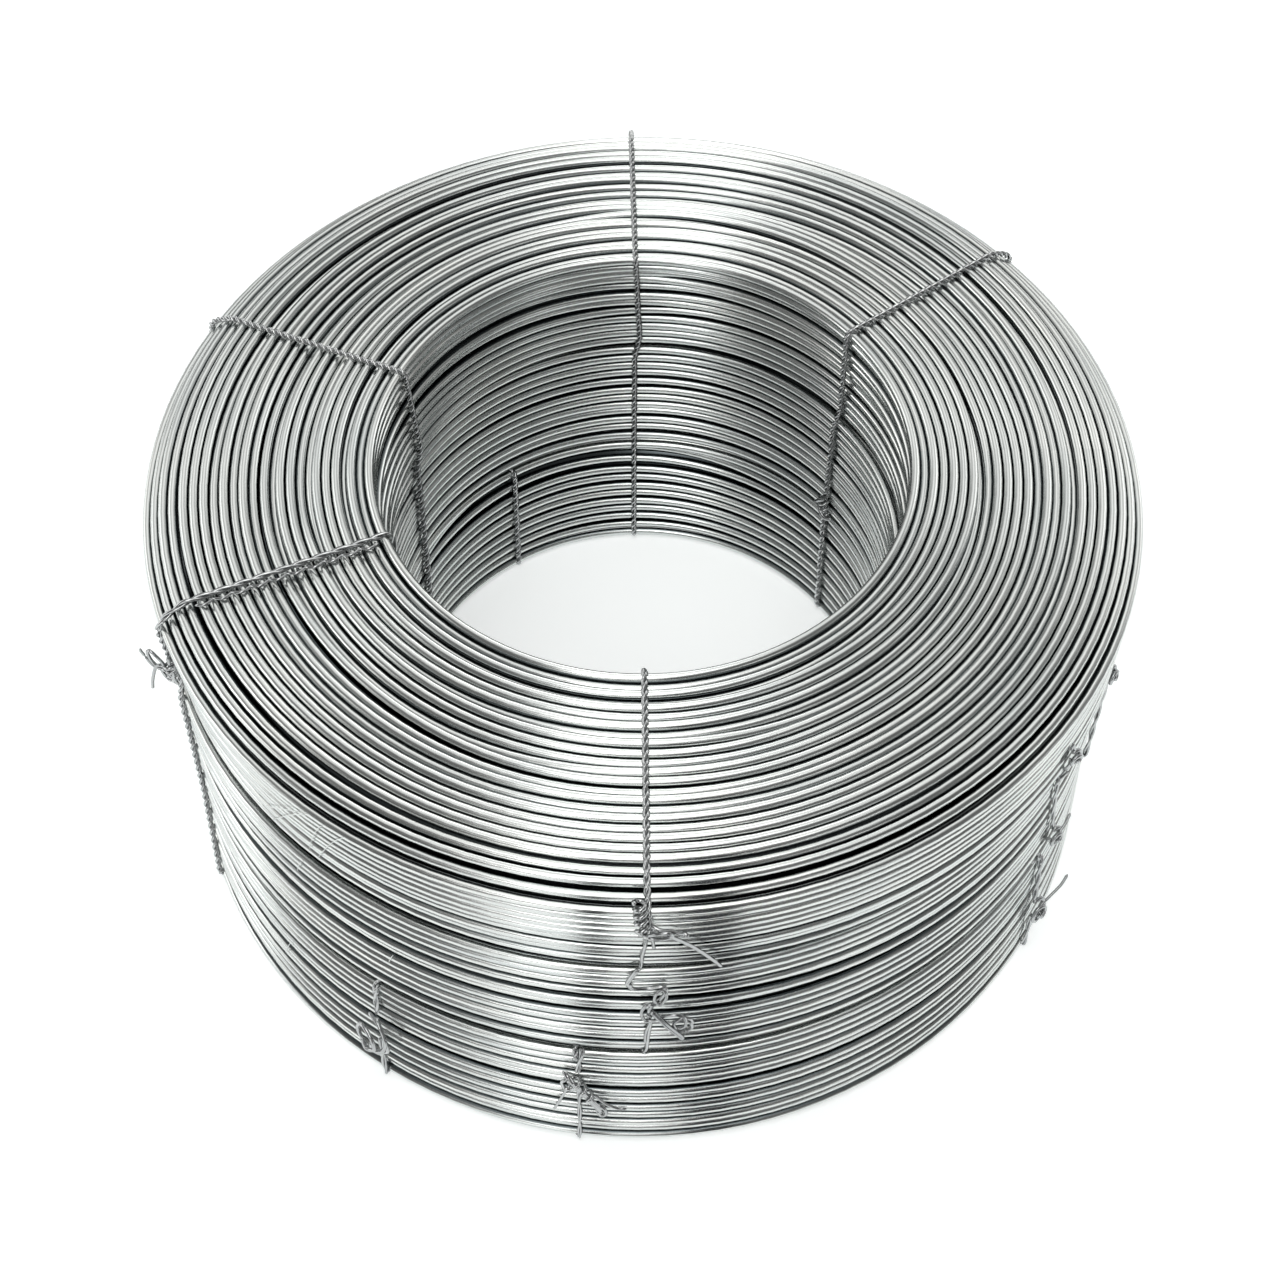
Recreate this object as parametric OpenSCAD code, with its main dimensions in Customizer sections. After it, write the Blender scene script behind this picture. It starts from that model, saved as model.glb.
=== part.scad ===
// Three flat coils of galvanized wire, stacked and tied with thin twisted wire.
// Origin: on the axis of the bottom coil, at the plane it lies on. +Z is up, -Y is the front.

/* [Wire] */
// Diameter of the galvanized wire
wire_d = 1.6; // [1.2:0.1:2.4]
// Diameter of one strand of tie wire
tie_d = 0.56; // [0.4:0.02:0.7]

/* [Coils] */
// Radius of the bore that the winding mandrel leaves
bore_r = 41; // [30:1:60]
// Columns of turns between bore and outside
columns = 25; // [12:1:30]
// Turns stacked in a full column
turns_high = 12; // [7:1:16]
// Turns missing from the outermost column at an end that lies on another coil or the floor
eased_turns = 1; // [0:1:2]
// Turns missing from the outermost column at the open top of the stack
top_eased_turns = 2; // [0:1:3]
// Play between neighbouring turns
turn_play = 0.04; // [0.02:0.01:0.1]
// Depth to which the crests of the turns are pressed flat
crest_flat = 0.05; // [0.02:0.01:0.1]

/* [Stack] */
// Sideways shift of the upper two coils from the bottom one
upper_shift_x = 0.5; // [-1:0.5:1]
// Backward shift of the upper two coils from the bottom one
upper_shift_y = 9; // [6:0.5:14]

/* [Ties] */
// Play between a tie and the turns beside it
tie_play = 0.05; // [0.03:0.01:0.1]
// Spacing of the two strands of a tie, as a share of the strand
strand_pitch = 0.85; // [0.8:0.01:0.88]
// Length of a straight tail that a knot leaves
tail_len = 7; // [3:1:12]

/* [Hidden] */
$fn = 48;

// Packed turns: neighbouring columns sit half a turn apart, so columns lie closer than a diameter
turn_r = wire_d / 2;
turn_pitch = wire_d + turn_play;
column_pitch = turn_pitch * cos(30);
outer_r = bore_r + wire_d + (columns - 1) * column_pitch;
coil_h = (turns_high - 1) * turn_pitch + wire_d - 2 * crest_flat;

// Ties and the gaps that they hold open between the coils
tie_w = tie_d * (1 + strand_pitch);
coil_gap = tie_d + 2 * tie_play;
seat_w = tie_w + 2 * tie_play;
seat_depth = tie_d + tie_play;
corner_swell = 1.08;
knot_turns = 4;
knot_r = tie_d * 1.9;
zinc = "lightsteelblue";
tie_grey = "slategray";

// Height of the underside of each coil
middle_z = coil_h + coil_gap;
top_z = 2 * (coil_h + coil_gap);
stack_h = top_z + coil_h;
upper_shift = [upper_shift_x, upper_shift_y];

// Direction of each tie, counted from +X about the axis of the coils that it binds
back_a = 91;
back_right_a = 35;
back_left_a = 157;
left_a = 205;
front_a = 270;
middle_right_a = 340;
middle_front_right_a = 326;
bottom_back_left_a = 123;
bottom_front_left_a = 240;
bottom_front_a = 263.5;
bottom_front_right_a = 321;

// Turn centres of column k: its lowest turn, and its highest where the outermost column misses e turns
function end_turn(k, e) = turn_r - crest_flat + (k % 2) * turn_pitch / 2
    + max(0, e - (columns - 1 - k)) * turn_pitch;
function first_turn(k) = end_turn(k, eased_turns);
function last_turn(k, e) = coil_h - end_turn(k, e);
function column_r(k) = bore_r + turn_r - crest_flat + k * column_pitch;
function turns_in(k, e) = round((last_turn(k, e) - first_turn(k)) / turn_pitch);

// A crest turned towards angle facing: its pressed flat, and a side down to the valley on each hand
flat_angle = acos(1 - crest_flat / turn_r);
side_angles = [64, 42];
function crest(x, z, facing, deepest) = [
    for (t = concat(
        [for (s = side_angles) if (s <= deepest) s], [flat_angle, -flat_angle],
        [for (i = [len(side_angles) - 1 : -1 : 0]) if (side_angles[i] <= deepest) -side_angles[i]]
    )) [x + turn_r * cos(facing + t), z + turn_r * sin(facing + t)]
];
// Crests of full columns stand out and show more of their round than those between them
function shows(k) = k % 2 == 0 || k == columns - 1 ? 64 : 42;

// Distance from the upper axis, along angle a, at which a circle of radius r round the bottom axis is met
function cross_bottom(a, r) =
    let (s = upper_shift[0] * cos(a) + upper_shift[1] * sin(a),
         c = upper_shift * upper_shift - r * r)
    -s + sqrt(s * s - c);

function flatten(rows) = [for (row = rows) each row];

// Outline of a coil's section: up the bore, across the top, down the outside and back below
function section(e) = let (last = columns - 1) concat(
    flatten([for (i = [0 : turns_in(0, e)]) crest(column_r(0), first_turn(0) + i * turn_pitch, 180, 64)]),
    flatten([for (k = [0 : last]) crest(column_r(k), last_turn(k, e), 90, shows(k))]),
    flatten([for (i = [turns_in(last, e) : -1 : 0])
        crest(column_r(last), first_turn(last) + i * turn_pitch, 0, 64)]),
    flatten([for (k = [last : -1 : 0]) crest(column_r(k), first_turn(k), 270, shows(k))])
);

// A coil on its own axis, its crests pressed flat on the bore, the ends and the outside.
// Its outermost column misses e turns at the top.
module coil(e) {
    rotate_extrude($fn = 120) polygon(section(e));
}

// Seat that a tie has drawn into the bore wall between heights z0 and z1, at distance r along angle a
module bore_seat(a, r, z0, z1) {
    rotate(a) translate([r - wire_d, -seat_w / 2, z0 - 1]) cube([wire_d + seat_depth, seat_w, z1 - z0 + 2]);
}

// Seat under a coil from distance r0 to r1 along angle a
module under_seat(a, r0, r1) {
    rotate(a) translate([r0 - wire_d, -seat_w / 2, -1])
        cube([r1 - r0 + 2 * wire_d, seat_w, 1 + seat_depth]);
}

// One strand round a closed outline, in the plane y = 0, kinked into a ball at each corner.
// Corners are listed as [distance, height].
module strand(corners) {
    n = len(corners);
    for (i = [0 : n - 1]) {
        from = corners[i];
        to = corners[(i + 1) % n];
        run = to - from;
        translate([from[0], 0, from[1]]) {
            rotate([0, 90 - atan2(run[1], run[0]), 0]) cylinder(h = norm(run), d = tie_d);
            sphere(d = tie_d * corner_swell);
        }
    }
}

// Two strands side by side
module twin(corners) {
    for (side = [-1, 1]) translate([0, side * strand_pitch * tie_d / 2, 0]) strand(corners);
}

// Knot: the strand ends wound round the tie, with a straight tail standing off
module knot(tail_turn) {
    for (i = [0 : knot_turns - 1])
        translate([0, 0, (i - (knot_turns - 1) / 2) * tie_d * strand_pitch])
            rotate_extrude() translate([knot_r - tie_d / 2, 0]) circle(d = tie_d);
    cylinder(h = knot_turns * tie_d * strand_pitch, r = knot_r - tie_d / 2, center = true);
    rotate([0, 60, tail_turn]) {
        cylinder(h = tail_len, d = tie_d);
        translate([0, 0, tail_len]) sphere(d = tie_d);
    }
}

// Loop round coils that share an axis: r0 and r1 are its legs, z0 and z1 its lower and upper runs
function plain_loop(r0, r1, z0, z1) = [[r0, z0], [r1, z0], [r1, z1], [r0, z1]];

// Legs lie in the bore seats and clear of the outermost turns
leg_in = bore_r + tie_d / 2;
leg_out = outer_r + tie_play + tie_d / 2;
over = tie_play + tie_d / 2;

// Loop round all three coils, stepping with the bottom one
function stepped_loop(a) = let (
    low_in = cross_bottom(a, bore_r) + tie_d / 2,
    low_out = cross_bottom(a, outer_r) + over,
    step_z = coil_h + coil_gap / 2
) [
    [low_in, tie_d / 2], [low_out, tie_d / 2], [low_out, step_z], [leg_out, step_z],
    [leg_out, stack_h + over], [leg_in, stack_h + over], [leg_in, step_z], [low_in, step_z]
];

// Tie round all three coils with its knot at height knot_z
module full_tie(a, knot_z, tail_turn) {
    color(tie_grey) translate(upper_shift) rotate(a) {
        twin(stepped_loop(a));
        translate([leg_out + knot_r, 0, knot_z]) knot(tail_turn);
    }
}

// Tie round the upper two coils
module upper_tie(a, knot_z, tail_turn) {
    color(tie_grey) translate(upper_shift) rotate(a) {
        twin(plain_loop(leg_in, leg_out, middle_z - over, stack_h + over));
        translate([leg_out + knot_r, 0, knot_z]) knot(tail_turn);
    }
}

// Tie round the middle coil alone
module middle_tie(a, knot_z, tail_turn) {
    color(tie_grey) translate(upper_shift) rotate(a) {
        twin(plain_loop(leg_in, leg_out, middle_z - over, middle_z + coil_h + over));
        translate([leg_out + knot_r, 0, knot_z]) knot(tail_turn);
    }
}

// Tie round the bottom coil alone
module bottom_tie(a, knot_z, tail_turn) {
    color(tie_grey) rotate(a) {
        twin(plain_loop(leg_in, leg_out, tie_d / 2, coil_h + over));
        translate([leg_out + knot_r, 0, knot_z]) knot(tail_turn);
    }
}

module winding_top() {
    color(zinc) translate([upper_shift[0], upper_shift[1], top_z]) difference() {
        coil(top_eased_turns);
        for (a = [back_a, back_right_a, back_left_a, left_a, front_a]) bore_seat(a, bore_r, 0, coil_h);
    }
}

module winding_middle() {
    color(zinc) translate([upper_shift[0], upper_shift[1], middle_z]) difference() {
        coil(eased_turns);
        for (a = [back_a, back_right_a, back_left_a, left_a, front_a,
                  middle_right_a, middle_front_right_a])
            bore_seat(a, bore_r, 0, coil_h);
    }
}

module winding_bottom() {
    color(zinc) difference() {
        coil(eased_turns);
        translate(upper_shift) for (a = [back_a, back_right_a, back_left_a, left_a]) {
            bore_seat(a, cross_bottom(a, bore_r), 0, coil_h);
            under_seat(a, cross_bottom(a, bore_r), cross_bottom(a, outer_r));
        }
        for (a = [bottom_back_left_a, bottom_front_left_a, bottom_front_a, bottom_front_right_a]) {
            bore_seat(a, bore_r, 0, coil_h);
            under_seat(a, bore_r, outer_r);
        }
    }
}

winding_top();
winding_middle();
winding_bottom();
full_tie(back_a, top_z + coil_h * 0.6, 20);  // tie_back
full_tie(back_right_a, top_z + coil_h * 0.4, -30);  // tie_back_right
full_tie(back_left_a, top_z + coil_h * 0.5, 30);  // tie_back_left
full_tie(left_a, top_z + coil_h * 0.6, 40);  // tie_left
upper_tie(front_a, top_z + coil_h * 0.6, 70);  // tie_front
middle_tie(middle_right_a, middle_z + coil_h * 0.8, 30);  // middle_tie_right
middle_tie(middle_front_right_a, middle_z + coil_h * 0.75, -40);  // middle_tie_front_right
bottom_tie(bottom_back_left_a, coil_h * 0.5, 0);  // bottom_tie_back_left
bottom_tie(bottom_front_left_a, coil_h * 0.6, 30);  // bottom_tie_front_left
bottom_tie(bottom_front_a, coil_h * 0.55, -60);  // bottom_tie_front
bottom_tie(bottom_front_right_a, coil_h * 0.75, 60);  // bottom_tie_front_right
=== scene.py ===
import math

import bpy
import numpy as np
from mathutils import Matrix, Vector


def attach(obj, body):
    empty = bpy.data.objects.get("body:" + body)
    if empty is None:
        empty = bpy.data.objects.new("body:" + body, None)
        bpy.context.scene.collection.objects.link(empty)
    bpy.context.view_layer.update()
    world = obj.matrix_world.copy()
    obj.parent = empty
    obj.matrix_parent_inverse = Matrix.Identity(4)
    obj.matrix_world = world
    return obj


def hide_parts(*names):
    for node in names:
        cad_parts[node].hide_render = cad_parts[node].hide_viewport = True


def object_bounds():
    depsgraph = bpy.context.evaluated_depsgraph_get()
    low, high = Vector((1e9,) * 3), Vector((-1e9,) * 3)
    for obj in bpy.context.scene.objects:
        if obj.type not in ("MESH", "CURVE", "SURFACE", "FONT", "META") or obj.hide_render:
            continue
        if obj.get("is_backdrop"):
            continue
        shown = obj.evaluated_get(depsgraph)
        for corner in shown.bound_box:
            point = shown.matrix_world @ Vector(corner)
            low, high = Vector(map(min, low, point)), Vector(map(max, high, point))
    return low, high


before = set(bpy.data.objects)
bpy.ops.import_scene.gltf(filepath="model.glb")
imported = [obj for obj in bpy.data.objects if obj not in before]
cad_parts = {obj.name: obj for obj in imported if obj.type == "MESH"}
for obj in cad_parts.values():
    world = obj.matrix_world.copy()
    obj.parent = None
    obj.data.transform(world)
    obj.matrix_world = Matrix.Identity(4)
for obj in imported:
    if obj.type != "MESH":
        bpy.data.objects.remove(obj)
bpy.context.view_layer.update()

MM = 0.001
TAU = 2 * math.pi

# ---- sizes of the wire, in millimetres, as in the part's source ----
WIRE = 1.6
TIE = 0.56
BORE_R = 41.0
COLUMNS = 25
ROWS = 12
PITCH = 1.64
COLUMN_PITCH = PITCH * math.cos(math.radians(30))
OUTER_R = BORE_R + WIRE + (COLUMNS - 1) * COLUMN_PITCH
COIL_H = 19.54
MIDDLE_Z = 20.2
TOP_Z = 40.4
STACK_H = TOP_Z + COIL_H

# The stack leans forward as it goes down: height and centre of the rings
LEAN = [(0.0, 0.0, -1.7), (COIL_H, 0.1, 5.0), (MIDDLE_Z, 0.1, 5.1), (MIDDLE_Z + COIL_H, 0.3, 9.4),
        (TOP_Z, 1.2, 9.6), (STACK_H, 0.5, 9.9)]
SEGMENTS = 116
SIDES, BEHIND_SIDES = 8, 5
# The wire is drawn a little thinner than its pitch, so that gaps open between the turns
WIRE_R = 0.735


def centre(z):
    zs = [row[0] for row in LEAN]
    return np.interp(z, zs, [row[1] for row in LEAN]), np.interp(z, zs, [row[2] for row in LEAN])


def smooth_noise(rng, size, harmonics):
    """A closed function of the angle: a few slow waves with random phases."""
    angles = np.linspace(0, TAU, size, endpoint=False)
    total = np.zeros(size)
    for n in range(1, harmonics + 1):
        total += rng.normal() / n ** 0.6 * np.cos(n * angles + rng.uniform(0, TAU))
    return total / math.sqrt(harmonics)


# ---- mesh building ----
class Mesh:
    """Collects swept wires with a coordinate along each wire and one round it."""

    def __init__(self):
        self.points, self.faces, self.uvs, self.count, self.turns = [], [], [], 0, 0

    def add(self, ring, closed, u, v):
        """ring: (n, m, 3) points, n along the wire and m round it, with u (n) and v (m + 1)."""
        n, m = ring.shape[:2]
        self.points.append(ring.reshape(-1, 3))
        steps = n if closed else n - 1
        i, j = np.meshgrid(np.arange(steps), np.arange(m), indexing="ij")
        i2, j2 = (i + 1) % n, (j + 1) % m
        quads = np.stack([i * m + j, i * m + j2, i2 * m + j2, i2 * m + j], -1).reshape(-1, 4)
        self.faces.append(quads + self.count)
        u_next = u[i + 1]
        corners = np.stack([np.stack([u[i], v[j]], -1), np.stack([u[i], v[j + 1]], -1),
                            np.stack([u_next, v[j + 1]], -1), np.stack([u_next, v[j]], -1)], 2)
        self.uvs.append(corners.reshape(-1, 2))
        self.count += n * m
        self.turns += 1

    def build(self, name, material):
        points = np.concatenate(self.points) * MM
        faces = np.concatenate(self.faces)
        mesh = bpy.data.meshes.new(name)
        mesh.vertices.add(len(points))
        mesh.vertices.foreach_set("co", points.astype(np.float32).ravel())
        mesh.loops.add(faces.size)
        mesh.loops.foreach_set("vertex_index", faces.astype(np.int32).ravel())
        mesh.polygons.add(len(faces))
        mesh.polygons.foreach_set("loop_start", np.arange(0, faces.size, 4, dtype=np.int32))
        mesh.polygons.foreach_set("loop_total", np.full(len(faces), 4, np.int32))
        mesh.polygons.foreach_set("use_smooth", np.ones(len(faces), bool))
        layer = mesh.uv_layers.new(name="wire")
        layer.data.foreach_set("uv", np.concatenate(self.uvs).astype(np.float32).ravel())
        mesh.update(calc_edges=True)
        mesh.validate()
        mesh.materials.append(material)
        piece = bpy.data.objects.new(name, mesh)
        bpy.context.scene.collection.objects.link(piece)
        return piece


def turn(mesh, radius, height, facing, spread, sides=SIDES, painted_shade=0.0):
    """One turn: radius and height at each segment, about the axis of the leaning stack. facing is the way
    it is seen from, as an angle in its section, and spread is how far round from there it lies open."""
    angles = np.linspace(0, TAU, SEGMENTS, endpoint=False)
    cx, cy = centre(height)
    around = np.linspace(0, TAU, sides, endpoint=False) + facing + math.pi
    out = radius[:, None] + WIRE_R * np.cos(around)[None, :]
    ring = np.stack([cx[:, None] + out * np.cos(angles)[:, None],
                     cy[:, None] + out * np.sin(angles)[:, None],
                     height[:, None] + WIRE_R * np.sin(around)[None, :]], -1)
    u = np.linspace(0, TAU, SEGMENTS + 1) * float(np.mean(radius)) + mesh.turns * 517.3
    # v is 0 at the crest and 1 at the edge of what lies open; past 0.9 the material paints shade, and painted_shade
    # raises v to darken a whole turn
    v = np.abs(np.linspace(-math.pi, math.pi, sides + 1)) / spread + painted_shade
    mesh.add(ring, True, u, v)


def row_of_turns(rng, first, last, count, uneven, sink_share):
    """Turns laid side by side between two fixed ones: their places along the face and how deep each one
    lies below it, at every segment. Touching turns nest, and the room that is left opens as gaps."""
    depth = np.zeros((count, SEGMENTS))
    for k in range(1, count - 1):
        depth[k] = uneven * (k % 2) * rng.uniform(0.3, 2.0) + 0.05 + 0.09 * smooth_noise(rng, SEGMENTS, 5)
        if rng.uniform() < sink_share:
            dip = np.clip(0.55 + 0.9 * smooth_noise(rng, SEGMENTS, 2), 0, 1)
            depth[k] += (0.6 + 0.6 * rng.uniform()) * dip * dip * (3 - 2 * dip)
    depth = np.maximum(depth, 0)
    nested = np.sqrt(np.maximum((2 * WIRE_R) ** 2 - np.diff(depth, axis=0) ** 2, 0.8))
    gaps = np.array([(0.22 + rng.exponential()) * np.clip(1 + 0.8 * smooth_noise(rng, SEGMENTS, 4), 0.05, 3)
                     for _ in range(count - 1)])
    room = abs(last - first) - nested.sum(0)
    share = np.where(room > 0, room / gaps.sum(0), 0)
    squeeze = np.where(room > 0, 1, abs(last - first) / nested.sum(0))
    steps = nested * squeeze + gaps * share
    place = first + math.copysign(1, last - first) * np.concatenate([np.zeros((1, SEGMENTS)), np.cumsum(steps, 0)])
    return place, depth


def behind(place, depth):
    """The turns of the next layer, which lie between the ones in front: depth and place of each."""
    return [((depth[j] + depth[j + 1]) / 2 + 1.26, (place[j] + place[j + 1]) / 2) for j in range(len(place) - 1)]


def coil(name, base, seed, top_drop, bottom_drop, fibres, material):
    """The turns that show on one coil, with a core behind them in painted shade. The drops say how far the
    outermost columns lie below the end of the coil, from the outermost inwards."""
    rng = np.random.default_rng(seed)
    mesh = Mesh()
    inside, outside = BORE_R + 0.06 + WIRE_R, OUTER_R - 0.04 - WIRE_R
    low, high = base + 0.04 + WIRE_R, base + COIL_H - 0.04 - WIRE_R

    # up the bore, corner turns included
    place, depth = row_of_turns(rng, low, high, ROWS, 0.12, 0.2)
    for j in range(ROWS):
        corner = 1 if j in (0, ROWS - 1) else 0
        facing = math.pi if not corner else math.pi * (0.75 if j else 1.25)
        turn(mesh, inside + depth[j], place[j], facing, 1.75 if corner else 1.12)
    # the next layer, between the turns in front, darkened with painted shade
    for radius, height in behind(place, depth):
        turn(mesh, inside + radius, height, math.pi, 1, BEHIND_SIDES, 0.8)

    # across the two ends
    for end, drops in ((1, top_drop), (-1, bottom_drop)):
        place, depth = row_of_turns(rng, inside, outside, COLUMNS, 0.3, 0.45)
        for k in range(1, COLUMNS - 1):
            drop = depth[k] + np.interp(COLUMNS - 1 - k, range(len(drops) + 1), (*drops, 0))
            lean = 0.5 * math.pi - (0.5 if drops[0] > 1 and k > COLUMNS - 4 else 0)
            turn(mesh, place[k], (high if end > 0 else low) - end * drop, end * lean, 1.12)
        if end > 0 and top_drop == ROUNDED:
            # the next layer, between the turns in front, darkened with painted shade
            for drop, radius in behind(place[:-4], depth[:-4]):
                turn(mesh, radius, high - drop, 0.5 * math.pi, 1, BEHIND_SIDES, 0.8)

    # down the outside
    first, last = low + bottom_drop[0], high - top_drop[0]
    count = int(round((last - first) / PITCH)) + 1
    place, depth = row_of_turns(rng, first, last, count, 0.15, 0.25)
    for j in range(count):
        corner = 1 if j in (0, count - 1) else 0
        facing = 0 if not corner else math.pi * (0.22 if j else -0.22)
        turn(mesh, outside - depth[j], place[j], facing, 1.7 if corner else 1.15)
    # the next layer, between the turns in front, darkened with painted shade
    for radius, height in behind(place, depth):
        turn(mesh, outside - radius, height, 0, 1, BEHIND_SIDES, 0.8)

    for (angle0, z0), (angle1, z1) in fibres:
        strand(mesh, [at(angle0 + (angle1 - angle0) * t, OUTER_R + 0.12 + 0.7 * t * (1 - t), z0 + (z1 - z0) * t ** 1.2)
                      for t in (0, 0.2, 0.4, 0.6, 0.8, 1)], radius=0.07, step=0.8)

    # the imported wire behind, one solid coloured all over in painted shade (v = 3)
    inner, outer = BORE_R + 2.4, OUTER_R - 2.6
    bottom, top = base + 1.5, base + COIL_H - (2.4 if top_drop == ROUNDED else 1.5)
    section = np.array([(inner, bottom), (inner, (bottom + top) / 2), (inner, top), ((inner + outer) / 2, top),
                        (outer - 4.5, top), (outer, top - 1.2 - top_drop[0] * 0.6), (outer, bottom + 1.2),
                        (outer - 2, bottom), ((inner + outer) / 2, bottom)])
    angles = np.linspace(0, TAU, SEGMENTS, endpoint=False)
    cx, cy = centre(section[:, 1])
    ring = np.stack([cx[None, :] + section[None, :, 0] * np.cos(angles)[:, None],
                     cy[None, :] + section[None, :, 0] * np.sin(angles)[:, None],
                     np.repeat(section[None, :, 1], SEGMENTS, 0)], -1)
    mesh.add(ring, True, np.linspace(0, TAU, SEGMENTS + 1) * 55, np.full(len(section) + 1, 3.0))
    return mesh.build(name, material)


# ---- swept wires for the ties ----
def smooth_path(points, step):
    """Points at even steps on a smooth curve through the given ones."""
    p = np.array(points, float)
    p = np.concatenate([[2 * p[0] - p[1]], p, [2 * p[-1] - p[-2]]])
    dense = []
    for i in range(1, len(p) - 2):
        a, b, c, d = p[i - 1:i + 3]
        t = np.linspace(0, 1, 12, endpoint=False)[:, None]
        m1, m2 = (c - a) * 0.4, (d - b) * 0.4
        dense.append((2 * t**3 - 3 * t**2 + 1) * b + (t**3 - 2 * t**2 + t) * m1
                     + (-2 * t**3 + 3 * t**2) * c + (t**3 - t**2) * m2)
    dense = np.concatenate(dense + [p[-2:-1]])
    length = np.concatenate([[0], np.cumsum(np.linalg.norm(np.diff(dense, axis=0), axis=1))])
    at = np.linspace(0, length[-1], max(2, int(round(length[-1] / step)) + 1))
    return np.stack([np.interp(at, length, dense[:, i]) for i in range(3)], -1)


def frames(path):
    """A tangent and two normals at each point, without twist."""
    tangent = np.gradient(path, axis=0)
    tangent /= np.linalg.norm(tangent, axis=1)[:, None]
    normal = np.zeros_like(path)
    first = np.cross(tangent[0], [0.31, 0.17, 0.93])
    normal[0] = first / np.linalg.norm(first)
    for i in range(1, len(path)):
        n = normal[i - 1] - tangent[i] * (normal[i - 1] @ tangent[i])
        normal[i] = n / np.linalg.norm(n)
    return tangent, normal, np.cross(tangent, normal)


def sweep(mesh, path, radius, sides=6, taper=True):
    tangent, normal, side = frames(path)
    around = np.linspace(0, TAU, sides, endpoint=False)
    size = np.full(len(path), radius)
    if taper:
        size[0] = size[-1] = radius * 0.35
    ring = (path[:, None, :] + size[:, None, None] * (np.cos(around)[None, :, None] * normal[:, None, :]
                                                      + np.sin(around)[None, :, None] * side[:, None, :]))
    length = np.concatenate([[0], np.cumsum(np.linalg.norm(np.diff(path, axis=0), axis=1))])
    mesh.add(ring, False, length + mesh.turns * 91.7, np.linspace(0, 0.6, sides + 1))


def strand(mesh, points, radius=TIE / 2, step=0.35):
    sweep(mesh, smooth_path(points, step), radius)


def twisted(mesh, points, lay=3.0, radius=TIE / 2, step=0.24):
    """Two strands twisted round each other along the path."""
    path = smooth_path(points, step)
    _, normal, side = frames(path)
    turned = np.arange(len(path)) * step / lay * TAU
    for start in (0, math.pi):
        offset = (np.cos(turned + start)[:, None] * normal + np.sin(turned + start)[:, None] * side)
        sweep(mesh, path + offset * radius * 0.96, radius)


def at(angle, radius, z, out=0.0, along=0.0):
    """A point about the leaning axis: angle in degrees, radius and height, moved out and sideways."""
    a = math.radians(angle)
    cx, cy = centre(z)
    return np.array([cx + (radius + out) * math.cos(a) - along * math.sin(a),
                     cy + (radius + out) * math.sin(a) + along * math.cos(a), z])


def helix(mesh, start, end, radius, turns, wire=TIE / 2):
    """A strand wound round the line from start to end."""
    start, end = np.array(start), np.array(end)
    axis = (end - start) / np.linalg.norm(end - start)
    one = np.cross(axis, [0.2, 0.3, 0.93])
    one /= np.linalg.norm(one)
    two = np.cross(axis, one)
    t = np.linspace(0, 1, int(turns * 14) + 1)
    a = t * turns * TAU
    path = start + t[:, None] * (end - start) + radius * (np.cos(a)[:, None] * one + np.sin(a)[:, None] * two)
    sweep(mesh, path, wire)


def local(angle):
    """Points near a tie, from (sideways, height, distance out from the outer turns) in millimetres."""
    return lambda rows: [at(angle, OUTER_R, z, out, along) for along, z, out in rows]


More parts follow.
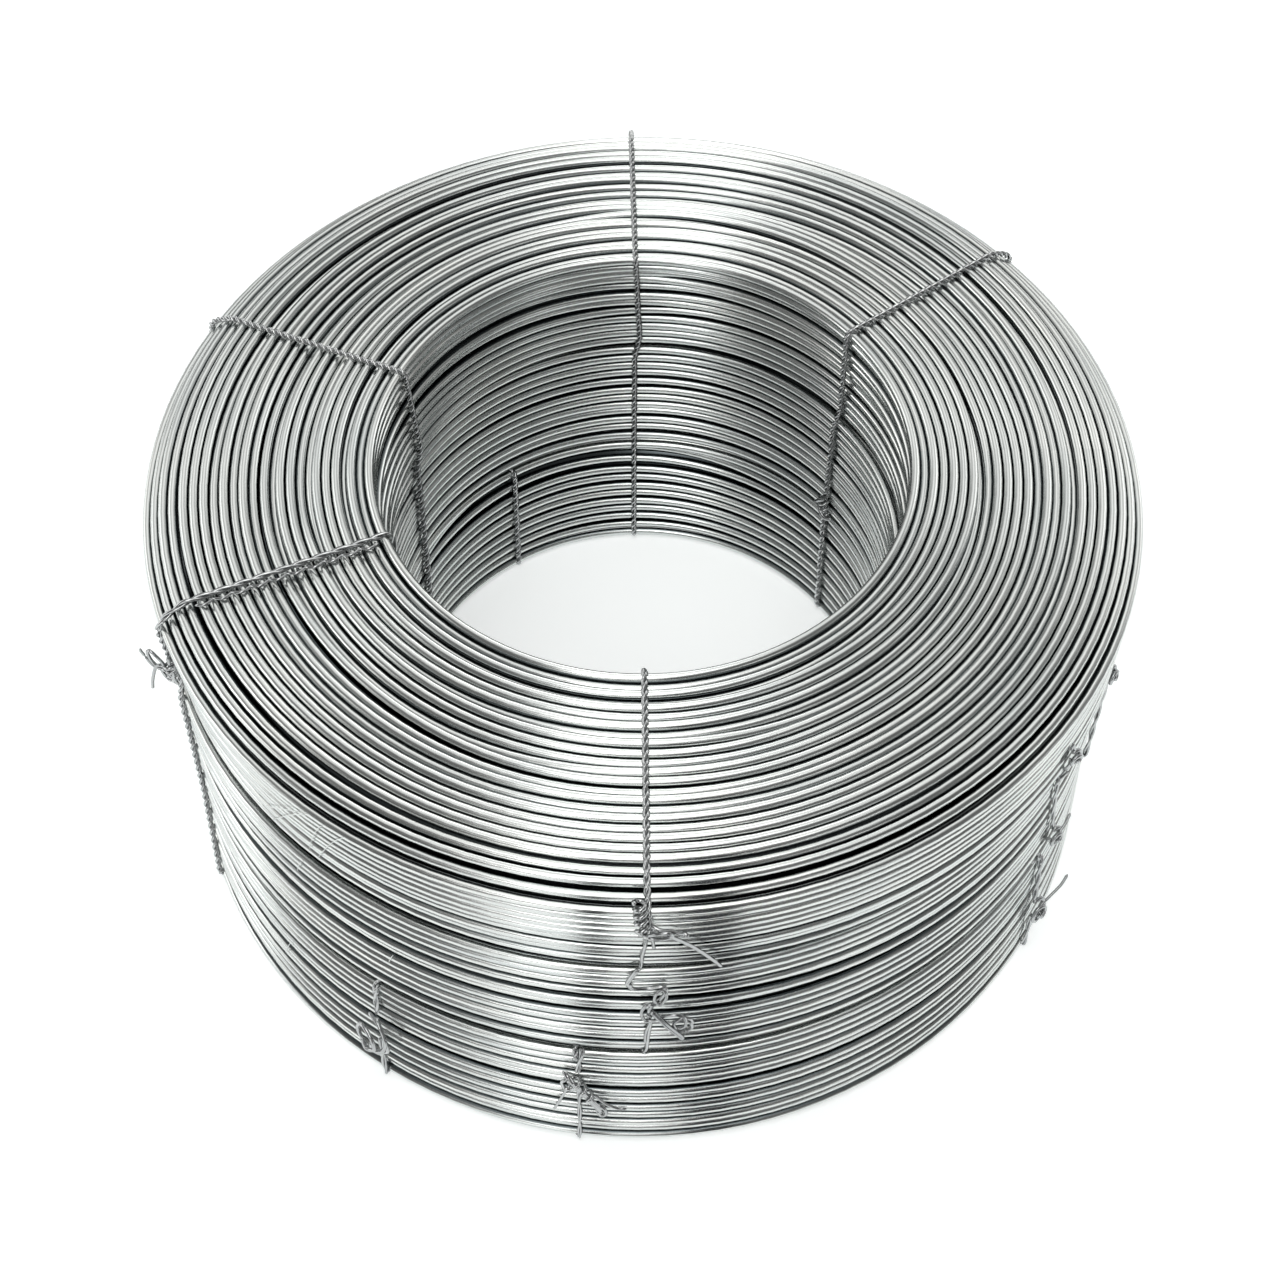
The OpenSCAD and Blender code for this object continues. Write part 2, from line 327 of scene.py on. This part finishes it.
# ---- materials ----
def wire_material(name, colour, shade, roughness, painted_shade_colour):
    """Galvanized wire: drawn streaks along it, mottled zinc, and painted shade deep between the turns, where the v of
    its UV passes 0.9.
    """
    material = bpy.data.materials.new(name)
    material.use_nodes = True
    nodes, links = material.node_tree.nodes, material.node_tree.links
    shader = nodes["Principled BSDF"]
    shader.inputs["Metallic"].default_value = 1.0

    def node(kind, **values):
        made = nodes.new(kind)
        for key, value in values.items():
            setattr(made, key, value)
        return made

    uv = node("ShaderNodeUVMap", uv_map="wire")
    split = node("ShaderNodeSeparateXYZ")
    links.new(uv.outputs["UV"], split.inputs[0])

    def stretched(along, across, scale, detail):
        place = node("ShaderNodeMapping")
        place.inputs["Scale"].default_value = (along, across, 1)
        links.new(uv.outputs["UV"], place.inputs["Vector"])
        noise = node("ShaderNodeTexNoise")
        noise.inputs["Scale"].default_value = scale
        noise.inputs["Detail"].default_value = detail
        links.new(place.outputs["Vector"], noise.inputs["Vector"])
        return noise

    streaks = stretched(0.05, 9.0, 1.0, 3.0)
    mottle = stretched(0.012, 0.6, 1.0, 4.0)
    place = node("ShaderNodeTexCoord")
    patches = node("ShaderNodeTexNoise")
    patches.inputs["Scale"].default_value = 55
    patches.inputs["Detail"].default_value = 3
    links.new(place.outputs["Object"], patches.inputs["Vector"])

    tone = node("ShaderNodeValToRGB")
    tone.color_ramp.elements[0].position, tone.color_ramp.elements[1].position = 0.32, 0.68
    tone.color_ramp.elements[0].color = (*shade, 1)
    tone.color_ramp.elements[1].color = (*colour, 1)
    mixed = node("ShaderNodeMix", data_type="FLOAT")
    mixed.inputs[0].default_value = 0.4
    links.new(mottle.outputs["Fac"], mixed.inputs[2])
    links.new(patches.outputs["Fac"], mixed.inputs[3])
    links.new(mixed.outputs[0], tone.inputs["Fac"])

    # Painted shade: the colour turns to the dark one where v passes 0.9, on the flanks deep between the turns
    painted_shade = node("ShaderNodeMapRange", interpolation_type="SMOOTHSTEP")
    painted_shade.inputs["From Min"].default_value, painted_shade.inputs["From Max"].default_value = 0.9, 1.25
    links.new(split.outputs["Y"], painted_shade.inputs["Value"])
    base = node("ShaderNodeMix", data_type="RGBA")
    links.new(painted_shade.outputs["Result"], base.inputs[0])
    links.new(tone.outputs["Color"], base.inputs[6])
    base.inputs[7].default_value = (*painted_shade_colour, 1)
    links.new(base.outputs[2], shader.inputs["Base Color"])

    rough = node("ShaderNodeMapRange")
    rough.inputs["From Min"].default_value, rough.inputs["From Max"].default_value = 0.3, 0.7
    rough.inputs["To Min"].default_value, rough.inputs["To Max"].default_value = roughness
    links.new(streaks.outputs["Fac"], rough.inputs["Value"])
    links.new(rough.outputs["Result"], shader.inputs["Roughness"])

    bump = node("ShaderNodeBump")
    bump.inputs["Strength"].default_value = 0.35
    bump.inputs["Distance"].default_value = 0.00004
    links.new(streaks.outputs["Fac"], bump.inputs["Height"])
    links.new(bump.outputs["Normal"], shader.inputs["Normal"])
    return material


# The last colour of each is painted shade, for the flanks deep between the turns and for the packed wire behind
zinc = wire_material("galvanized_wire", (0.80, 0.81, 0.79), (0.60, 0.63, 0.63), (0.11, 0.25), (0.10, 0.115, 0.12))
tie_zinc = wire_material("tie_wire", (0.62, 0.63, 0.63), (0.36, 0.37, 0.38), (0.10, 0.24), (0.04, 0.045, 0.05))

# ---- the three coils ----
# how far the outermost columns lie below the end of a coil, in millimetres, from the outermost inwards
ROUNDED, JOINED, SQUARE = (3.3, 1.9, 0.9, 0.3), (0.35, 0.1), (0.3, 0.1)
# Hair-thin slivers of zinc on the outside, from and to (angle, height)
SLIVERS = {"winding_top": [((233.5, 56.5), (225, 45.7)), ((233.8, 56.5), (225.4, 42.1)), ((235.9, 56.5), (231.5, 43.0)),
                           ((238.5, 56.5), (232.5, 42.0))],
           "winding_middle": [((230.6, 39.0), (229.5, 35.6)), ((242.3, 30.2), (241.5, 27.5)), ((303.3, 29.2), (302.6, 28.0))],
           "winding_bottom": [((225.3, 14.2), (223.6, 9.8))]}
for piece_name, node_name, base, seed, top_drop, bottom_drop in (
        ("turns_of_top_coil", "winding_top", TOP_Z, 11, ROUNDED, JOINED),
        ("turns_of_middle_coil", "winding_middle", MIDDLE_Z, 23, JOINED, JOINED),
        ("turns_of_bottom_coil", "winding_bottom", 0.0, 37, JOINED, SQUARE)):
    piece = coil(piece_name, base, seed, top_drop, bottom_drop, SLIVERS[node_name], zinc)
    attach(piece, "root")
    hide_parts(node_name)


# ---- the ties ----
LIFT = 0.3


def up_the_bore(angle, z0, z1):
    count = max(2, int((z1 - z0) / 4))
    return [at(angle, BORE_R - LIFT, z0 + (z1 - z0) * i / count) for i in range(count + 1)]


def across(angle, z, start, end):
    return [at(angle, start + (end - start) * i / 7, z) for i in range(8)]


def over_the_top(angle, z, rounded):
    """From the bore edge to the outside of a coil whose top is at z. The open top has a rounded edge."""
    points = [at(angle, BORE_R - LIFT + 0.1, z - 0.4)]
    points += across(angle, z + 0.04, BORE_R + 0.7, OUTER_R - (5.2 if rounded else 1.2))
    if rounded:
        points += [at(angle, OUTER_R - 3.6, z - 0.5), at(angle, OUTER_R - 2.0, z - 1.3),
                   at(angle, OUTER_R - 0.6, z - 2.4), at(angle, OUTER_R + LIFT, z - 3.9)]
    else:
        points += [at(angle, OUTER_R + 0.1, z - 0.5), at(angle, OUTER_R + LIFT, z - 1.6)]
    return points


def down_the_outside(angle, z1, z0):
    count = max(2, int((z1 - z0) / 4))
    return [at(angle, OUTER_R + LIFT, z1 + (z0 - z1) * i / count) for i in range(count + 1)]


def below(angle, z):
    return ([at(angle, OUTER_R + 0.1, z + 0.5)] + across(angle, z, OUTER_R - 1.0, BORE_R + 1.0)
            + [at(angle, BORE_R - LIFT + 0.1, z + 0.5)])


def tie(angle, low, high, rounded, lay, outside=None):
    """A pair of twisted strands round the coils between two heights, closed unless its outside is given."""
    mesh = Mesh()
    inner = up_the_bore(angle, low + 1.4, high - 1.4) + over_the_top(angle, high, rounded)
    shoulder = 5.0 if rounded else 2.6
    if outside is None:
        round_it = inner + down_the_outside(angle, high - shoulder, low + 1.6) + below(angle, low)
        twisted(mesh, round_it + round_it[:1], lay=lay)
    else:
        twisted(mesh, below(angle, low) + inner, lay=lay)
        outside(mesh, angle)
    return mesh


def knot_at_back(mesh, angle):
    """Seen only from behind: the ends wound round the pair, with one short tail."""
    place = local(angle)
    twisted(mesh, down_the_outside(angle, STACK_H - 4.2, 0.9), lay=2.8)
    start, end = place([(0, 50.5, 0.5), (0, 47.0, 0.6)])
    helix(mesh, start, end, 0.85, 4.5)
    strand(mesh, place([(0.3, 47.2, 1.2), (0.9, 46.2, 1.9), (2.2, 45.0, 2.2), (4.4, 43.6, 1.7)]))


def knot_at_left(mesh, angle):
    def place(rows):
        return local(angle)([(along * 0.7 + 1.8, z - 4.0, out * 0.9) for along, z, out in rows])

    twisted(mesh, down_the_outside(angle, STACK_H - 4.2, 0.9), lay=3.2)
    strand(mesh, place([(0.2, 56, 0.5), (0.5, 54, 0.8), (0.1, 52.8, 1.2), (-1.3, 52.4, 2.3), (-2.7, 53.6, 3.2),
                        (-3.2, 55.4, 3.3), (-2.3, 56.5, 2.8), (-0.9, 55.7, 2.1), (-0.5, 53.9, 1.6),
                        (-1.6, 52.0, 2.2), (-3.0, 52.6, 3.4), (-3.6, 54.4, 3.9)]))
    strand(mesh, place([(0.9, 53.4, 0.6), (1.5, 51.9, 0.9), (0.6, 50.5, 1.4), (-0.9, 50.5, 2.0), (-1.5, 51.8, 2.3),
                        (-0.4, 52.9, 1.9), (1.1, 52.4, 1.1), (1.7, 50.8, 0.7), (0.7, 49.7, 0.8), (-0.4, 50.1, 1.4)]))
    strand(mesh, place([(-0.8, 53.6, 1.9), (-2.0, 52.9, 2.8), (-2.9, 50.9, 3.6), (-3.6, 48.4, 4.5), (-4.2, 46.0, 5.1)]))
    strand(mesh, place([(-3.6, 54.4, 3.9), (-4.0, 55.6, 4.2), (-3.6, 56.4, 4.1)]), radius=0.24)
    helix(mesh, *place([(0.0, 54.0, 0.7), (0.3, 51.0, 0.7)]), 0.8, 3)


def knot_in_front(mesh, angle):
    place = local(angle)
    # the pair ends in a row of tight wraps, and one strand goes on down
    twisted(mesh, place([(0, 56.2, 0.35), (0.1, 55.2, 0.5), (0.2, 53.6, 0.9)]), lay=3)
    helix(mesh, *place([(-1.1, 58.6, -0.9), (-0.9, 54.4, 1.2)]), 0.72, 4.2, wire=0.34)
    helix(mesh, *place([(-0.9, 54.0, 0.9), (0.2, 52.8, 1.1)]), 0.7, 1.8)
    strand(mesh, place([(-0.2, 53.6, 1.6), (1.0, 54.6, 1.9), (2.6, 54.9, 1.9), (3.1, 54.0, 1.9), (1.8, 53.2, 1.9),
                        (0.2, 52.9, 1.7), (-0.8, 53.4, 1.4)]))
    strand(mesh, place([(0.3, 55.2, 1.0), (1.6, 55.0, 1.5), (3.4, 54.6, 1.6), (4.7, 53.6, 1.5)]))
    helix(mesh, *place([(4.3, 54.0, 1.5), (4.9, 53.2, 1.5)]), 0.18, 1, wire=0.3)
    strand(mesh, place([(1.9, 54.2, 1.7), (3.6, 51.9, 1.3), (5.8, 48.4, 0.8), (8.2, 44.0, 0.5), (9.6, 41.0, 0.3)]))
    strand(mesh, place([(0.2, 52.6, 1.0), (0.4, 49.8, 0.7), (0.5, 47.2, 0.5)]), radius=0.24)
    strand(mesh, place([(-0.3, 53.0, 1.1), (-0.6, 49.0, 0.6), (-1.2, 44.6, 0.4), (-1.6, 41.4, 0.5), (-2.2, 39.8, 0.9),
                        (-2.3, 37.9, 1.0), (-1.5, 36.9, 0.9), (0.4, 36.6, 0.6), (2.4, 36.9, 0.6), (3.0, 36.2, 0.8),
                        (2.2, 34.6, 0.9), (1.2, 33.4, 0.9), (0.4, 31.8, 1.2)]), radius=0.31)
    strand(mesh, place([(-1.6, 42.2, 1.0), (-2.4, 41.2, 1.3), (-2.5, 38.9, 1.4), (-1.8, 37.8, 1.2)]), radius=0.36)
    # the second, looser knot
    strand(mesh, place([(2.8, 37.2, 1.0), (1.6, 36.2, 1.2), (1.3, 34.8, 1.3), (2.2, 34.0, 1.4), (3.0, 35.4, 1.2),
                        (2.6, 36.6, 1.0)]), radius=0.25)
    strand(mesh, place([(0.9, 32.6, 1.5), (3.0, 30.0, 1.9), (5.6, 26.4, 1.8)]), radius=0.42)
    strand(mesh, place([(1.6, 33.4, 1.2), (0.3, 33.6, 1.2), (-0.5, 32.0, 1.3), (0.0, 30.3, 1.4), (1.2, 30.2, 1.4),
                        (2.8, 30.9, 1.2), (4.4, 31.2, 1.2), (5.6, 30.6, 1.2), (5.8, 29.0, 1.4), (4.6, 28.4, 1.5),
                        (4.1, 29.4, 1.4), (5.2, 30.2, 1.1), (6.4, 29.8, 0.9), (7.0, 28.4, 0.8)]), radius=0.26)
    strand(mesh, place([(4.6, 28.0, 1.4), (5.9, 27.4, 1.3), (6.8, 28.2, 1.1), (6.3, 29.5, 1.1)]), radius=0.26)
    strand(mesh, place([(0.3, 31.2, 1.1), (0.9, 29.4, 0.8), (0.6, 25.4, 0.4), (0.4, 22.0, 0.4), (0.1, 20.6, 0.0),
                        (0.0, 20.0, -1.2)]))
    strand(mesh, place([(0.9, 29.6, 1.0), (0.2, 26.0, 0.6), (0.1, 23.4, 0.5)]), radius=0.22)


def small_knot(mesh, angle, top, height, low, size=1.0, tail=None):
    """Two ends twisted together into a small ball of loops on the outer turns."""
    place = local(angle)
    twisted(mesh, place([(0, top, 0.0), (0, top - 1.0, 0.3), (0, height + 1.4 * size, 0.5)]), lay=6.5, radius=0.24)
    twisted(mesh, place([(0, height - 1.4 * size, 0.5), (0, low + 1.2, 0.3), (0, low + 0.3, -0.1)]), lay=9, radius=0.23)
    loop = [(-0.6, 1.5, 0.6), (0.9, 1.4, 1.2), (1.6, 0.2, 1.5), (0.9, -1.2, 1.6), (-0.7, -1.4, 1.4), (-1.5, -0.2, 1.3),
            (-0.8, 1.0, 1.5), (0.5, 0.8, 2.0), (0.8, -0.3, 2.1), (-0.1, -0.7, 2.1), (-0.6, 0.1, 1.9)]
    strand(mesh, place([(x * size, height + z * size, out * size) for x, z, out in loop]), radius=0.33, step=0.3)
    loop = [(0.2, 1.6, 0.7), (1.3, 0.8, 1.3), (1.5, -0.9, 1.2), (0.9, -1.9, 0.9), (0.0, -1.5, 1.4), (0.2, -0.2, 1.7)]
    strand(mesh, place([(x * size, height + z * size, out * size) for x, z, out in loop]), radius=0.33, step=0.3)
    if tail:
        strand(mesh, place([(x, height + z, out) for x, z, out in tail]), radius=0.25)


def knots_at_right(mesh, angle):
    """One round knot stands above the middle coil's edge, and a looser one lies near its foot."""
    small_knot(mesh, angle, 48.0, 45.4, 40.4, 0.75)
    twisted(mesh, local(angle)([(0, 41.0, 0.4), (0.3, 38.0, 0.3), (1.6, 31.0, 0.3), (3.0, 25.5, 0.4)]), lay=8, radius=0.2)
    small_knot(mesh, angle + 3.0, 25.5, 22.6, MIDDLE_Z, 0.85, [(0.5, 0.6, 1.4), (2.2, 1.0, 1.6), (3.4, 2.0, 1.6)])


def knot_bottom_front(mesh, angle):
    """A long flattened bundle of strands that lies slanting down the turns, with a tail each way."""
    place = local(angle)
    twisted(mesh, place([(1.0, 20.2, -0.2), (0.9, 19.3, 0.3), (0.5, 17.4, 0.4), (0.3, 15.8, 0.7)]), lay=8, radius=0.22)
    for k in range(3):
        shift = (k - 1) * 0.45
        strand(mesh, place([(-1.4 + shift, 15.6 - shift, 0.8), (-0.3 + shift, 14.6, 1.3 + 0.2 * k), (1.4, 12.4 + shift, 1.4),
                            (2.8, 10.6 + shift, 1.4), (4.0, 8.7 + shift, 1.2)]))
    helix(mesh, *place([(-0.6, 15.2, 1.0), (2.6, 11.0, 1.3)]), 0.75, 3.5)
    strand(mesh, place([(-1.2, 15.0, 1.3), (-2.0, 14.2, 1.2), (-1.6, 13.0, 1.2), (-0.4, 13.2, 1.5), (0.0, 14.4, 1.6),
                        (-0.9, 15.2, 1.5)]), step=0.3)
    strand(mesh, place([(3.4, 10.4, 1.3), (4.4, 9.6, 1.4), (4.6, 8.4, 1.3), (3.8, 8.0, 1.3), (3.2, 9.2, 1.4)]), step=0.3)
    strand(mesh, place([(-0.8, 13.8, 1.1), (-2.0, 10.8, 0.9), (-3.4, 7.2, 0.6)]), radius=0.24)
    strand(mesh, place([(2.6, 12.4, 1.2), (4.4, 10.2, 0.9), (6.0, 9.0, 0.6), (7.6, 8.8, 0.4)]), radius=0.24)
    twisted(mesh, place([(0.4, 12.6, 0.5), (0.4, 6.0, 0.3), (0.3, 1.4, 0.2), (0.2, 0.5, -0.1)]), lay=9, radius=0.18)


def knot_in_bore(mesh, angle):
    """The right-hand tie is knotted inside the bore: two short bright ends cross the pair."""
    def inside(rows):
        return [at(angle, BORE_R, z, -out, along) for along, z, out in rows]

    strand(mesh, inside([(2.3, 21.4, 0.6), (1.4, 22.3, 1.2), (0.2, 23.6, 1.5), (-0.8, 24.4, 1.3)]), radius=0.36)
    strand(mesh, inside([(0.9, 21.8, 1.0), (-0.4, 21.2, 1.5), (-1.6, 21.0, 1.5), (-2.8, 21.6, 1.2)]), radius=0.36)
    helix(mesh, *inside([(0.2, 24.0, 0.6), (-0.2, 20.4, 0.6)]), 0.8, 3)


LEFT_ZIGZAG = 21
for piece_name, node_name, angle, low, high, rounded, lay, outside in (
        ("twisted_tie_back", "tie_back", 91.5, 0.6, STACK_H, True, 2.6, knot_at_back),
        ("twisted_tie_back_right", "tie_back_right", 36, 0.6, STACK_H, True, 2.8, knot_at_back),
        ("twisted_tie_back_left", "tie_back_left", 157.5, 0.6, STACK_H, True, 2.6, knot_at_back),
        ("twisted_tie_left", "tie_left", 204, 0.6, STACK_H, True, 6.0, knot_at_left),
        ("twisted_tie_front", "tie_front", 270.5, MIDDLE_Z - 0.3, STACK_H, True, 3.2, knot_in_front),
        ("twisted_middle_tie_right", "middle_tie_right", 340, MIDDLE_Z - 0.3, MIDDLE_Z + COIL_H, False, 3.0,
         lambda mesh, a: small_knot(mesh, a, MIDDLE_Z + COIL_H, MIDDLE_Z + COIL_H - 1.5, MIDDLE_Z, 0.8)),
        ("twisted_middle_tie_front_right", "middle_tie_front_right", 323.5, MIDDLE_Z - 0.3, MIDDLE_Z + COIL_H, False,
         3.0, knots_at_right),
        ("twisted_bottom_tie_back_left", "bottom_tie_back_left", 124, 0.6, COIL_H, False, 2.6,
         lambda mesh, a: small_knot(mesh, a, COIL_H, 10, 0.3, 0.9)),
        ("twisted_bottom_tie_front_left", "bottom_tie_front_left", 239, 0.6, COIL_H, False, 3.0,
         lambda mesh, a: small_knot(mesh, a, COIL_H, 11.5, 0.3, 1.8)),
        ("twisted_bottom_tie_front", "bottom_tie_front", 263, 0.6, COIL_H, False, 3.0, knot_bottom_front),
        ("twisted_bottom_tie_front_right", "bottom_tie_front_right", 325, 0.6, COIL_H, False, 3.0,
         lambda mesh, a: small_knot(mesh, a, COIL_H, 9.0, 0.3, 1.1,
                                    [(0.4, 0.2, 1.4), (2.5, 0.6, 2.0), (5.0, 1.4, 2.8), (6.6, 2.2, 3.0)]))):
    mesh = tie(angle, low, high, rounded, lay, outside)
    if node_name == "tie_back_right":
        knot_in_bore(mesh, angle)
    if node_name == "tie_left":
        # a slack second strand hooks over the turns beside the pair
        rows = []
        for i in range(LEFT_ZIGZAG):
            radius = BORE_R + 2 + (OUTER_R - BORE_R - 8) * i / (LEFT_ZIGZAG - 1)
            rows.append(at(angle, radius, STACK_H + (0.35 if i % 2 else 0.05), 0, 0.9 + (0.9 if i % 2 else 0.2)))
        strand(mesh, rows, radius=0.25)
    piece = mesh.build(piece_name, tie_zinc)
    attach(piece, "root")
    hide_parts(node_name)

# ---- camera ----
REACH = OUTER_R
elevation, distance = math.radians(56.27), 4.071 * REACH * MM
aim = Vector((LEAN[-1][1] * MM, LEAN[-1][2] * MM, 0))
camera_data = bpy.data.cameras.new("camera")
camera = bpy.data.objects.new("camera", camera_data)
bpy.context.scene.collection.objects.link(camera)
camera.location = aim + distance * Vector((0, -math.cos(elevation), math.sin(elevation)))
camera.rotation_euler = (math.pi / 2 - elevation, 0, 0)
camera_data.sensor_width = 36
camera_data.lens = 1713 / 1280 * 36
camera_data.shift_x = -(642 - 640) / 1280
camera_data.shift_y = (665 - 640) / 1280
camera_data.clip_start, camera_data.clip_end = 0.01, 10
bpy.context.scene.camera = camera

bpy.context.scene.view_settings.view_transform = "Standard"

# ---- floor ----
floor_mesh = bpy.data.meshes.new("floor")
floor_mesh.from_pydata([(-3, -3, -0.0002), (3, -3, -0.0002), (3, 3, -0.0002), (-3, 3, -0.0002)], [], [(0, 1, 2, 3)])
floor = bpy.data.objects.new("floor", floor_mesh)
bpy.context.scene.collection.objects.link(floor)
floor_material = bpy.data.materials.new("pale_floor")
floor_material.use_nodes = True
floor_shader = floor_material.node_tree.nodes["Principled BSDF"]
floor_shader.inputs["Base Color"].default_value = (0.88, 0.91, 0.91, 1)
floor_shader.inputs["Roughness"].default_value = 0.8
floor_mesh.materials.append(floor_material)
floor_shader.inputs["Emission Color"].default_value = (1, 1, 1, 1)
floor_shader.inputs["Emission Strength"].default_value = 0.4
floor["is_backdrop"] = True

card_material = bpy.data.materials.new("dark_card")
card_material.use_nodes = True
card_shader = card_material.node_tree.nodes["Principled BSDF"]
card_shader.inputs["Base Color"].default_value = (0.02, 0.022, 0.025, 1)
card_shader.inputs["Roughness"].default_value = 0.9

# ---- light ----
world = bpy.data.worlds.new("studio")
bpy.context.scene.world = world
world.use_nodes = True
nodes, links = world.node_tree.nodes, world.node_tree.links
background = nodes["Background"]
coordinate = nodes.new("ShaderNodeTexCoord")


def direction(azimuth, elevation):
    a, e = math.radians(azimuth), math.radians(elevation)
    return Vector((math.cos(e) * math.cos(a), math.cos(e) * math.sin(a), math.sin(e)))


def calculate(kind, first, second):
    made = nodes.new("ShaderNodeMath")
    made.operation = kind
    for socket, value in zip(made.inputs, (first, second)):
        if isinstance(value, (int, float)):
            socket.default_value = value
        else:
            links.new(value, socket)
    return made.outputs[0]


# Soft patches of studio light: azimuth, elevation, how sharply each is bounded, and its level
PATCHES = [(90, 56, 9, 1.1), (90, 88, 60, 4.2), (263, 68, 60, 3.2), (254, 50, 70, 4.6), (87, 18, 60, 4.0),
           (36, 18, 25, 1.8), (150, 20, 25, 1.8), (182, 16, 40, 2.8), (250, 12, 90, 2.8), (262, 28, 120, 1.4),
           (310, 14, 90, 1.2), (350, 16, 60, 0.5)]
total = 0.14
for azimuth, elevation, sharpness, level in PATCHES:
    towards = nodes.new("ShaderNodeVectorMath")
    towards.operation = "DOT_PRODUCT"
    towards.inputs[1].default_value = direction(azimuth, elevation)
    links.new(coordinate.outputs["Generated"], towards.inputs[0])
    near = calculate("MAXIMUM", towards.outputs["Value"], 0.0)
    total = calculate("ADD", calculate("MULTIPLY", calculate("POWER", near, sharpness), level), total)
seen = nodes.new("ShaderNodeLightPath")
backdrop = nodes.new("ShaderNodeMix")
backdrop.data_type = "FLOAT"
backdrop.inputs[3].default_value = 1.0
links.new(seen.outputs["Is Camera Ray"], backdrop.inputs[0])
links.new(total, backdrop.inputs[2])
links.new(backdrop.outputs[0], background.inputs["Strength"])
background.inputs["Color"].default_value = (1.0, 1.0, 0.985, 1)


def soft_light(name, place, size, power):
    """Lights the floor alone: the metal reflects only the studio round it."""
    data = bpy.data.lights.new(name, "AREA")
    data.shape, data.size, data.energy = "DISK", size, power
    light = bpy.data.objects.new(name, data)
    light.location = place
    light.rotation_euler = (-Vector(place)).to_track_quat("-Z", "Y").to_euler()
    light.visible_glossy = False
    bpy.context.scene.collection.objects.link(light)


# Two dark things that stand before the real coil and show in its front: from and to azimuth, in degrees
for number, (start, end, tall) in enumerate(((260.8, 265.3, 0.10), (275.1, 284.1, 0.14))):
    foot = [Vector((0.115 * math.cos(math.radians(a)), 0.115 * math.sin(math.radians(a)), 0)) for a in (start, end)]
    corners = [tuple(foot[0]), tuple(foot[1]), (*foot[1][:2], tall), (*foot[0][:2], tall)]
    card_mesh = bpy.data.meshes.new(f"dark_card_{number + 1}")
    card_mesh.from_pydata(corners, [], [(0, 1, 2, 3)])
    card_mesh.materials.append(card_material)
    card = bpy.data.objects.new(f"dark_card_{number + 1}", card_mesh)
    bpy.context.scene.collection.objects.link(card)
    card.visible_camera = card.visible_diffuse = card.visible_shadow = False
    card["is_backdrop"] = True

soft_light("overhead", (0, 0, 1.2), 1.2, 1.2)

low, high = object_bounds()
